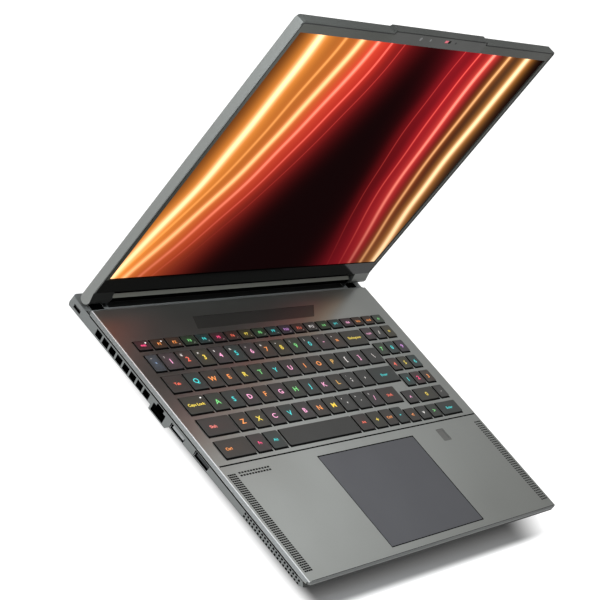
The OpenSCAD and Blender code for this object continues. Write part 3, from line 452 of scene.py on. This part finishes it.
def coverFinish(c, n):
    # 0 outer skin, 1 seam, openings and intake in painted shade, 2 front in painted shade
    z = coverZones
    if n.y < z["frontTilt"] and c.y < -halfDepth + z["front"]:
        return 2
    if c.z > deckZ - z["seam"] and c.y < screenY - z["seamEnd"]:
        if abs(n.z) < z["upright"] or c.z < deckZ - z["seamRim"]:
            return 1
    low, high = z["pocketTilt"]
    pocket = any(abs(c.y - screenY - end) < z["pocketSlack"] for end in z["pocketEnds"])
    pocket = pocket or low < abs(n.y) < high
    sideways = abs(c.x) > halfWidth - z["sockets"] and abs(c.y) < halfDepth - z["socketsEnd"]
    if sideways and z["floor"] < c.z < deckZ - z["socketsTop"]:
        return 1 if abs(n.x) < z["across"] and not pocket else 0
    rearward = c.y > halfDepth - z["rear"] and abs(c.x) < halfWidth - z["rearEnd"]
    if rearward and z["floor"] < c.z < deckZ - z["rearTop"]:
        return 1 if abs(n.y) < z["across"] else 0
    intake = c.z < footZ + z["intake"] and abs(c.x) < halfWidth - z["intakeEnd"]
    return 1 if intake and abs(n.z) < z["upright"] else 0


lidZones = {
    "ear": 10.6, "shell": 1, "lip": 247.05, "lipSide": 66.5, "topEdge": 240,
    "earFront": -0.1, "earUnder": -0.3, "lipFront": -0.3, "topTilt": 0.7,
}


def lidFinish(c, n):
    # 0 shell, 1 right ear, 2 camera lip, and the forward rim chamfer in painted shade, 3 left ear in painted
    # shade, 4 top edge in painted shade
    z = lidZones
    earFace = n.y < z["earFront"] or n.z < z["earUnder"] or abs(c.x) < halfWidth - z["shell"]
    if c.z < deckZ + z["ear"] and earFace:
        return 1 if c.x > 0 else 3
    if c.z > deckZ + z["lip"] and abs(c.x) < z["lipSide"]:
        return 2
    if c.z > deckZ + z["topEdge"] and n.y < z["lipFront"]:
        return 2
    return 4 if n.z > z["topTilt"] and c.z > deckZ + z["topEdge"] else 0


barTilts = {"up": 0.4, "front": -0.3}


def barFinish(c, n):
    # 0 underside and rear in painted shade, 1 brushed front
    return 1 if n.z > barTilts["up"] and n.y < barTilts["front"] else 0


socketZones = {"tongue": 1, "tongueEnd": 1.2, "mouth": 1, "mouthTilt": 0.9}


def socketFinish(name, mouth):
    # 0 shell, 1 tongue, 2 inside in painted shade
    z = socketZones
    low, high = (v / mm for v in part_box(name))
    middle = (low + high) / 2

    def choose(c, n):
        if abs(c.z - middle.z) < z["tongue"] and abs(c.y - middle.y) < (high.y - low.y) / 2 - z["tongueEnd"]:
            return 1
        return 0 if abs(n.x) > z["mouthTilt"] and abs(c.x - mouth) < z["mouth"] else 2

    return choose


paintNode("top_case", "blastedAluminium", "milledEdgeHighlight", "bevelAndFrontShade", "paintedDepthShade", choose=deckFinish)
paintNode("bottom_cover", "paintedCover", "paintedDepthShade", "frontAluminium", choose=coverFinish)
paintNode("lid_cover", "lidAluminium", "coatedZinc", "lipAndShadedRim", "shadedZinc", "lidTopShade",
    choose=lidFinish)
paintNode("hinge_bar", "paintedDepthShade", "brushedBar", choose=barFinish)
for name, tongue in (("usb_port_left_rear", "nickelSteel"), ("usb_port_left_front", "blackenedSteel")):
    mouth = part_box(name)[0].x / mm
    paintNode(name, "nickelSteel", tongue, "paintedDepthShade", choose=socketFinish(name, mouth))

# every other node has one finish
plainFinishes = {
    "siliconeRubber": ("lid_gasket", "rubber_feet"),
    "texturedBezel": ("screen_bezel",),
    "glossChin": ("chin_trim",),
    "litScreen": ("display_panel",),
    "mouldedPlastic": ("webcam_module", "rear_trim", "network_port"),
    "redAcetal": ("camera_shutter",),
    "screwSteel": ("bottom_screws",),
    "boardLaminate": ("motherboard", "memory_modules", "solid_state_drive", "wireless_card"),
    "shrinkWrap": ("battery",),
    "drawnCopper": ("cold_plate", "heat_pipes"),
    "foldedAluminium": ("fin_stacks",),
    "fanPlastic": ("fan_housing_left", "fan_housing_right", "fan_rotor_left", "fan_rotor_right",
        "speaker_left", "speaker_right"),
    "blackenedSteel": ("hinge_bracket_left", "hinge_bracket_right", "keyboard_plate"),
    "etchedGlass": ("touchpad",),
    "coatedReader": ("fingerprint_reader",),
    "nickelSteel": ("ports_right", "ports_rear"),
    "acrylicInlay": ("deck_inlay",),
}
for finish, names in plainFinishes.items():
    for name in names:
        paintNode(name, finish)
print("nodes painted")


# key caps: soft upper edge and a shallow dish, over the flank of the CAD cap
keyShape = {
    "corner": 1.3, "cornerSteps": 4, "frontSlope": 0.8,
    "edge": ((0.22, 0.14), (0.28, 0.02), (0.5, 0.0)),  # inset and rise of each ring of the edge, mm
    "edgeHeight": 0.16,
    "dish": 0.04,
    "topTilt": 0.9, "lightTilt": 0.3,  # how far the top, and all that has its finish, faces up
    "weld": 0.001, "skin": 0.01, "slack": 0.1,  # mm, how near counts as the same place
    "tall": 0.5,  # mm, edges of a cap that rise more than this are its corners
}
# legends: heights in mm for deep, middle and shallow caps, for words, for second legends and for the dot
legendShape = {
    "deep": 4.1, "middle": 3.6, "shallow": 2.9, "word": 2.3, "second": 1.6, "dot": 3.2,
    "deepCap": 14, "middleCap": 10,  # cap depths from which the first two heights are used
    "stretch": 1.4, "lift": 0.01, "share": 0.6,  # widest letter for its height, place, widest on its cap
    "weight": 0.012, "steps": 3, "capHeight": 0.73, "thinnest": 0.01,  # of a letter of size 1
    "longCap": 20, "margin": 4.5,  # words on long caps start at the left
    # places from the corner of the cap and greatest widths of the small marks, in mm
    "dotPlace": (3.6, 2.4, 2.2), "secondPlace": (4.4, 3.6, 2.4), "lowPlace": (3.6, 2.2, 2.2),
    "wide": {"Backspace": 20, "Tab": 12, "Caps Lock": 20, "Enter": 20, "Shift": 15, "Ctrl": 10, "Alt": 9},
}

# caps of each node from the rear left: legend, ink, second legend
legends = {
    "keys_function": "esc|m|•  F1|o|•  F2|o|-  F3|g|-  F4|t|-  F5|m|-  F6|r|-  F7|y|-  F8|g|-  F9|t|-"
        "  F10|v|-  F11|r|-  F12|w|-  ins|g|  prt|t|  del|p|  hm|o|  end|o|",
    "key_power": "o|g|",
    "keys_number": "`|b|~  1|p|!  2|r|@  3|y|#  4|p|$  5|t|%  6|p|^  7|o|&  8|y|*  9|g|(  0|t|)"
        "  -|p|_  =|o|+",
    "key_backspace": "Backspace|y|",
    "key_tab": "Tab|r|",
    "keys_upper": "Q|t|  W|o|  E|o|  R|y|  T|g|  Y|t|  U|p|  I|o|  O|o|  P|a|  [|w|  ]|p|  \\|w|",
    "key_caps_lock": "Caps Lock|y|•",
    "keys_home": "A|g|  S|t|  D|p|  F|o|  G|p|  H|g|  J|t|  K|p|  L|a|  ;|w|:  '|w|",
    "key_enter": "Enter|t|",
    "key_shift_left": "Shift|s|",
    "keys_lower": "Z|o|  X|y|  C|p|  V|t|  B|p|  N|o|  M|y|  ,|w|<  .|w|>  /|p|?",
    "key_shift_right": "Shift|r|",
    "keys_modifier_left": "Ctrl|o|  Fn|m|  Alt|t|",
    "keys_modifier_right": "Alt|r|  +|y|  Ctrl|o|  -|t|",
    "key_space": "|w|",
    "key_arrow_left": "<|o|",
    "key_arrow_down": "v|w|",
    "key_arrow_right": ">|g|",
    "key_arrow_up": "^|p|",
    "keys_numpad": "num|p|  /|w|  *|y|  7|g|  8|t|  9|v|  4|r|  5|y|  6|t|  1|t|  2|m|  3|o|  .|w|",
    "key_numpad_zero": "0|y|",
    "key_numpad_enter": "Enter|t|",
}
# how strongly the light tints the caps of a node, and single caps
# the rim of a cap gets the edge share of it, and its centre the middle share on top
capGlow = {
    "edge": 0.3, "middle": 1.1,
    "keys_function": 0.035, "key_power": 0.03, "keys_numpad": 0.03, "keys_number": 0.02, "other": 0.012,
    "single": {"`": 0.05, "1": 0.035},
}


def capPlaces(name):
    # the outline of every cap top of a node, sorted from the rear left
    bm = bmesh.new()
    bm.from_mesh(nodes[name].data)
    bmesh.ops.remove_doubles(bm, verts=bm.verts, dist=keyShape["weld"] * mm)
    top = max(v.co.z for v in bm.verts)
    bmesh.ops.delete(bm, geom=[v for v in bm.verts if v.co.z < top - keyShape["skin"] * mm], context="VERTS")
    places = []
    waiting = set(bm.verts)
    while waiting:
        group = {waiting.pop()}
        edge = set(group)
        while edge:
            edge = {e.other_vert(v) for v in edge for e in v.link_edges} - group
            group |= edge
        waiting -= group
        xs = [v.co.x / mm for v in group]
        ys = [v.co.y / mm for v in group]
        places.append((min(xs), max(xs), min(ys), max(ys)))
    bm.free()
    return sorted(places, key=lambda r: (-round(r[3]), r[0]))


wordMeshes = {}


def wordMesh(text):
    # the text as a flat mesh, centred on the origin, with its size
    if text not in wordMeshes:
        curve = bpy.data.curves.new("legend", "FONT")
        curve.body = text
        curve.offset = legendShape["weight"]
        curve.resolution_u = legendShape["steps"]
        holder = bpy.data.objects.new("legend", curve)
        bpy.context.scene.collection.objects.link(holder)
        bpy.context.view_layer.update()
        mesh = bpy.data.meshes.new_from_object(holder.evaluated_get(bpy.context.evaluated_depsgraph_get()))
        low = Vector([min(v.co[i] for v in mesh.vertices) for i in range(3)])
        high = Vector([max(v.co[i] for v in mesh.vertices) for i in range(3)])
        mesh.transform(Matrix.Translation(-(low + high) / 2))
        bpy.data.objects.remove(holder)
        wordMeshes[text] = (mesh, high - low)
    return wordMeshes[text]


def addWord(bm, text, x, y, z, height, widest, ink):
    s = legendShape
    mesh, size = wordMesh(text)
    tall = height / s["capHeight"]
    wide = min(tall * s["stretch"], widest / max(size.x, s["thinnest"]))
    firstVert, firstFace = len(bm.verts), len(bm.faces)
    bm.from_mesh(mesh)
    bm.verts.ensure_lookup_table()
    bm.faces.ensure_lookup_table()
    place = Matrix.Translation(Vector((x, y, z)) * mm) @ Matrix.Diagonal((wide * mm, tall * mm, mm, 1))
    bmesh.ops.transform(bm, matrix=place, verts=bm.verts[firstVert:])
    for face in bm.faces[firstFace:]:
        face.material_index = ink


def buildCaps(node, places, entries):
    s = keyShape
    low, high = (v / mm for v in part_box(node))
    bm = bmesh.new()
    for x0, x1, y0, y1 in places:
        for v in addBlock(bm, (x0, x1), (y0, y1), (low.z, high.z - s["edgeHeight"])):
            if v.co.z > (low.z + high.z) / 2 * mm and v.co.y < (y0 + y1) / 2 * mm:
                v.co.y += s["frontSlope"] * mm
    upright = [e for e in bm.edges if abs(e.verts[0].co.z - e.verts[1].co.z) > s["tall"] * mm]
    bmesh.ops.bevel(bm, geom=upright, offset=s["corner"] * mm, segments=s["cornerSteps"], profile=0.5,
        affect="EDGES", material=-1)
    bm.normal_update()
    tops = [f for f in bm.faces if f.normal.z > s["topTilt"]]
    for inset, rise in s["edge"]:
        bmesh.ops.inset_individual(bm, faces=tops, thickness=inset * mm, depth=rise * mm,
            use_even_offset=True)
    bmesh.ops.poke(bm, faces=tops, offset=-s["dish"] * mm)
    bm.normal_update()
    for face in bm.faces:
        # faces that do not face up take the near-black painted shade of the flanks
        face.material_index = 1 if face.normal.z > s["lightTilt"] else 0
        face.smooth = face.material_index == 1
    layer = bm.verts.layers.float_color.new("backlight")
    for (x0, x1, y0, y1), (text, ink, second) in zip(places, entries):
        colour = linearColour(legendColours[ink])
        glow = capGlow["single"].get(text, capGlow.get(node, capGlow["other"])) if text else 0
        half = min(x1 - x0, y1 - y0) / 2
        for v in bm.verts:
            x, y, z = v.co / mm
            depth = min(x - x0, x1 - x, y - y0, y1 - y)
            if z > high.z - s["edgeHeight"] - s["skin"] and depth > -s["slack"]:
                amount = glow * (capGlow["edge"] + capGlow["middle"] * max(0, depth / half))
                v[layer] = (colour[0] * amount, colour[1] * amount, colour[2] * amount, 1)
    top = materials["keyTopShaded" if node == "keys_function" else "keyTop"]
    addObject(node + "_caps", bm, [materials["flankAndHoleShade"], top], nodes[node]["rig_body"], [node])


def buildLegends(node, places, entries):
    s = legendShape
    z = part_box(node)[1].z / mm + s["lift"]
    codes = sorted({e[1] for e in entries})
    bm = bmesh.new()
    for (x0, x1, y0, y1), (text, ink, second) in zip(places, entries):
        deep = y1 - y0
        x, y = (x0 + x1) / 2, (y0 + y1) / 2
        height = s["deep"] if deep > s["deepCap"] else s["middle"] if deep > s["middleCap"] else s["shallow"]
        widest = s["wide"].get(text, (x1 - x0) * s["share"])
        if len(text) > 1:
            height = s["word"]
        if text in ("Shift", "Ctrl") and x1 - x0 > s["longCap"]:
            x = x0 + s["margin"] + widest / 2
        if text:
            addWord(bm, text, x, y, z, height, widest, codes.index(ink))
        if second == "•":
            side, edge, widest = s["dotPlace"]
            addWord(bm, second, x1 - side, y1 - edge, z, s["dot"], widest, len(codes))
        elif second and deep > s["middleCap"]:
            side, edge, widest = s["secondPlace"]
            addWord(bm, second, x0 + side, y1 - edge, z, s["second"], widest, len(codes))
        elif second:
            side, edge, widest = s["lowPlace"]
            addWord(bm, second, x1 - side, y0 + edge, z, s["second"], widest, len(codes))
    if not bm.faces:
        bm.free()
        return
    addObject(node + "_legends", bm, [inks[c] for c in codes] + [inks["w"]], nodes[node]["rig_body"])


for node, row in legends.items():
    entries = [entry.split("|") for entry in row.split("  ")]
    places = capPlaces(node)
    buildCaps(node, places, entries)
    buildLegends(node, places, entries)
print("keys")


# slots beside the pad and the speaker perforation: dark fields a hair above the deck, painted shade in place
# of open slots and holes
# y is measured forward from the screen plane
deckMarks = {
    "above": 0.01, "below": 0.1,
    "slots": {"x": -160.5, "pitch": 3.3, "count": 11, "y": (-153.3, -155.6), "size": (2.5, 1.3)},
    "perforation": {
        "left": {"x": (-173.2, -163.9), "size": (2.1, 1.2)},
        "right": {"x": (163.4, 173.4), "size": (1.9, 1.15)},
        "columns": 4, "y": (-233.6, -153.0), "pitch": {"left": 1.7, "right": 2.1},
    },
}


def addMark(bm, x, y, size):
    addBlock(bm, (x - size[0] / 2, x + size[0] / 2), (screenY + y - size[1] / 2, screenY + y + size[1] / 2),
        (deckZ - deckMarks["below"], deckZ + deckMarks["above"]))


def buildSlots(s):
    bm = bmesh.new()
    for i in range(s["count"]):
        for y in s["y"]:
            addMark(bm, s["x"] + i * s["pitch"] + s["size"][0] / 2, y, s["size"])
    addObject("statusSlots", bm, [materials["flankAndHoleShade"]], "base")


def buildPerforation(s, side):
    bm = bmesh.new()
    low, high = s[side]["x"]
    step = (high - low) / s["columns"]
    pitch = s["pitch"][side]
    for row in range(int((s["y"][1] - s["y"][0]) / pitch) + 1):
        for column in range(s["columns"]):
            addMark(bm, low + step * (column + 0.5), s["y"][0] + pitch * row, s[side]["size"])
    addObject("speakerHoles_" + side, bm, [materials["flankAndHoleShade"]], "base")


buildSlots(deckMarks["slots"])
for side in ("left", "right"):
    buildPerforation(deckMarks["perforation"], side)

# painted shade: dark lines round the touchpad, along the front edge of the deck and along the seam of the
# side walls, and painted shadow in the wells under the ears of the lid
shadeLines = {
    "inside": 0.05, "outside": 0.7, "sunk": 0.2, "lift": 0.01,
    "frontLine": (1.2, 1.5), "frontEnds": 5,
    "seamZ": (13.9, 14.42), "seamEnds": 9, "seamDepth": 0.3, "seamLift": 0.005,
    "wellX": (157.0, 170.5), "wellY": (-6.4, 3.6), "wellZ": (-3.1, -2.95),
}


def buildShadeLines(s):
    a, b = s["inside"], s["outside"]
    z = (deckZ - s["sunk"], deckZ + s["lift"])
    bm = bmesh.new()
    addBlock(bm, (padLow.x - b, padLow.x + a), (padLow.y - b, padHigh.y + b), z)
    addBlock(bm, (padHigh.x - a, padHigh.x + b), (padLow.y - b, padHigh.y + b), z)
    addBlock(bm, (padLow.x + a, padHigh.x - a), (padLow.y - b, padLow.y + a), z)
    addBlock(bm, (padLow.x + a, padHigh.x - a), (padHigh.y - a, padHigh.y + b), z)
    end = halfWidth - s["frontEnds"]
    addBlock(bm, (-end, end), [y - halfDepth for y in s["frontLine"]], z)
    for side in (-1, 1):
        addBlock(bm, sorted((side * (halfWidth - s["seamDepth"]), side * (halfWidth + s["seamLift"]))),
            (-halfDepth + s["seamEnds"], screenY - s["seamEnds"]), s["seamZ"])
        addBlock(bm, sorted(side * x for x in s["wellX"]), [screenY + y for y in s["wellY"]],
            [deckZ + z for z in s["wellZ"]])
    addObject("shadeLines", bm, [materials["paintedDepthShade"]], "base")


buildShadeLines(shadeLines)

# round sensor windows in the bezel beside the camera
# the smoother field round them leaves the camera's own window open
sensors = {
    "y": -1.12, "z": 243.9, "thick": 0.3, "segments": 24,
    "fieldLift": 0.01, "fieldSunk": 0.2,
    "field": (((-64, 5.6), (238.4, 246.9)), ((14.2, 64), (238.4, 246.9)), ((5.6, 14.2), (238.4, 242.8)),
        ((5.6, 14.2), (245.6, 246.9))),
    "discs": ((-28.0, 1.5, "sensorGlass"), (-14.5, 1.1, "sensorGlass"), (21.5, 0.9, "mouldedPlastic")),
}


def buildSensors(s):
    for index, (x, radius, finish) in enumerate(s["discs"]):
        bm = bmesh.new()
        place = Matrix.Translation(Vector((x, screenY + s["y"] + s["thick"] / 2, deckZ + s["z"])) * mm)
        bmesh.ops.create_cone(bm, cap_ends=True, segments=s["segments"], radius1=radius * mm,
            radius2=radius * mm, depth=s["thick"] * mm, matrix=place @ Matrix.Rotation(math.pi / 2, 4, "X"))
        addObject("sensor_%d" % index, bm, [materials[finish]], "lid")
    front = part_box("screen_bezel")[0].y / mm
    bm = bmesh.new()
    for x, z in s["field"]:
        addBlock(bm, x, (front - s["fieldLift"], front + s["fieldSunk"]), (deckZ + z[0], deckZ + z[1]))
    addObject("sensorField", bm, [materials["smoothBezel"]], "lid")


buildSensors(sensors)
print("deck details")


# pale floor that glows white beside the object; below it and in front of it the glow fades out, a painted
# shadow over the shadow the lamps really cast
# size is half its width in metres; each row of shade fades the glow out between two places on an axis, in mm
floorSettings = {
    "white": 0.29, "glow": 1.0, "size": 20, "rough": 0.9,
    "shade": (("X", -halfWidth + 2, -halfWidth + 26), ("X", halfWidth + 10, halfWidth - 60),
        ("Y", -halfDepth - 16, -halfDepth - 8), ("Y", halfDepth, 0)),
}


def buildFloor(s):
    material, tree, shader = newMaterial("paleFloor")
    shader.inputs["Base Color"].default_value = (s["white"], s["white"], s["white"], 1)
    shader.inputs["Roughness"].default_value = s["rough"]
    shader.inputs["Specular IOR Level"].default_value = 0.0
    shader.inputs["Emission Color"].default_value = (1, 1, 1, 1)
    place = addNode(tree, "TexCoord", {}).outputs["Object"]
    split = addNode(tree, "SeparateXYZ", {0: place})
    shade = 1.0
    for axis, low, high in s["shade"]:
        shade = addNode(tree, "MapRange", {"Value": split.outputs[axis], "From Min": low * mm,
            "From Max": high * mm, "To Max": shade}, interpolation_type="SMOOTHSTEP").outputs["Result"]
    glow = addNode(tree, "MapRange", {"Value": shade, "To Min": s["glow"], "To Max": 0.0}).outputs["Result"]
    tree.links.new(glow, shader.inputs["Emission Strength"])
    bm = bmesh.new()
    bmesh.ops.create_grid(bm, x_segments=1, y_segments=1, size=s["size"])
    mesh = bpy.data.meshes.new("floor")
    bm.to_mesh(mesh)
    bm.free()
    mesh.materials.append(material)
    floor = bpy.data.objects.new("floor", mesh)
    bpy.context.scene.collection.objects.link(floor)


buildFloor(floorSettings)

# even light from all round; what metal reflects is brighter overhead than near the horizon
studio = {"even": 0.55, "backdrop": 1.0, "horizon": 0.1, "overhead": 0.95, "rise": (0.28, 0.62)}


def buildStudio(s):
    world = bpy.data.worlds.new("studio")
    world.use_nodes = True
    tree = world.node_tree
    direction = addNode(tree, "TexCoord", {}).outputs["Generated"]
    height = addNode(tree, "SeparateXYZ", {0: direction}).outputs["Z"]
    mirrored = addNode(tree, "MapRange", {"Value": height, "From Min": s["rise"][0], "From Max": s["rise"][1],
        "To Min": s["horizon"], "To Max": s["overhead"]}, interpolation_type="SMOOTHSTEP").outputs["Result"]
    rays = addNode(tree, "LightPath", {})
    lit = addNode(tree, "MapRange", {"Value": rays.outputs["Is Glossy Ray"], "To Min": s["even"],
        "To Max": mirrored}).outputs["Result"]
    strength = addNode(tree, "MapRange", {"Value": rays.outputs["Is Camera Ray"], "To Min": lit,
        "To Max": s["backdrop"]}).outputs["Result"]
    background = tree.nodes["Background"]
    background.inputs["Color"].default_value = (1, 1, 1, 1)
    tree.links.new(strength, background.inputs["Strength"])
    bpy.context.scene.world = world


buildStudio(studio)
bpy.context.scene.view_settings.view_transform = "Standard"

# places and sizes in metres, power in watts
lampTarget = (0, 0, 0.05)
lamps = {
    "side": dict(place=(-1.3, 0.15, 0.9), size=0.8, power=6, colour=(0.94, 0.97, 1)),
    "near": dict(place=(-0.24, 0.0, 0.3), size=0.2, power=0.6, colour=(0.86, 0.93, 1)),
    "overhead": dict(place=(0.3, -0.5, 2.3), size=1.6, power=10, colour=(1, 1, 0.97)),
    "sheen": dict(place=(1.1, 0.36, 0.78), size=0.35, power=0.46, colour=(0.93, 0.96, 1)),
}


def buildLamps(table):
    for name, s in table.items():
        data = bpy.data.lights.new(name, "AREA")
        data.shape = "SQUARE"
        data.size = s["size"]
        data.energy = s["power"]
        data.color = s["colour"]
        lamp = bpy.data.objects.new(name, data)
        lamp.location = s["place"]
        lamp.visible_camera = False
        aim = Vector(lampTarget) - Vector(s["place"])
        lamp.rotation_euler = aim.to_track_quat("-Z", "Y").to_euler()
        bpy.context.scene.collection.objects.link(lamp)


buildLamps(lamps)
print("stage")
